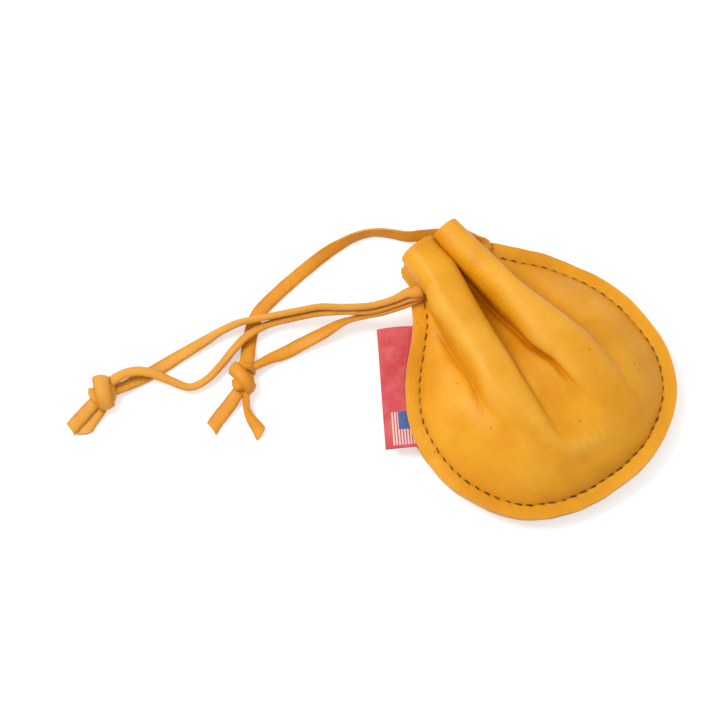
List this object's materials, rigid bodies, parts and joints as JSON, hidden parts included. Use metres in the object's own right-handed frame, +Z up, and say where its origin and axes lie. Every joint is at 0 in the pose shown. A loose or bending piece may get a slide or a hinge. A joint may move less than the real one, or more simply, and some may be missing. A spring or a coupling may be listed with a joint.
{
  "type": "leather drawstring pouch",
  "caption": "Small yellow leather drawstring pouch lying on its back, its neck gathered by two flat laces that end in knots, with a red woven label in the side seam.",
  "frame": {"origin": "the middle of the flat spot of the back panel that the pouch rests on, below the belly", "axes": "+Z up through the front panel, +Y from the belly towards the mouth, +X to the right seen from above with the mouth away"},
  "size_m": [0.1989, 0.1475, 0.0302],
  "materials": {
    "panel_leather": "smooth golden yellow deerskin with a soft satin surface",
    "lace_leather": "flat cut lace of the same hide, slightly more orange",
    "label_weave": "red woven damask",
    "seam_thread": "dark olive brown bonded thread"
  },
  "bodies": {
    "root": {"front_panel": "panel_leather", "back_panel": "panel_leather", "side_label": "label_weave", "lace_a_neck": "lace_leather", "lace_a_strand_over": "lace_leather", "lace_a_strand_under": "lace_leather", "lace_a_knot": "lace_leather", "lace_a_tail_long": "lace_leather", "lace_a_tail_short": "lace_leather", "lace_b_neck": "lace_leather", "lace_b_strand_behind": "lace_leather", "lace_b_strand_front": "lace_leather", "lace_b_knot": "lace_leather", "lace_b_tail_long": "lace_leather", "lace_b_tail_short": "lace_leather"}
  },
  "joints": []
}
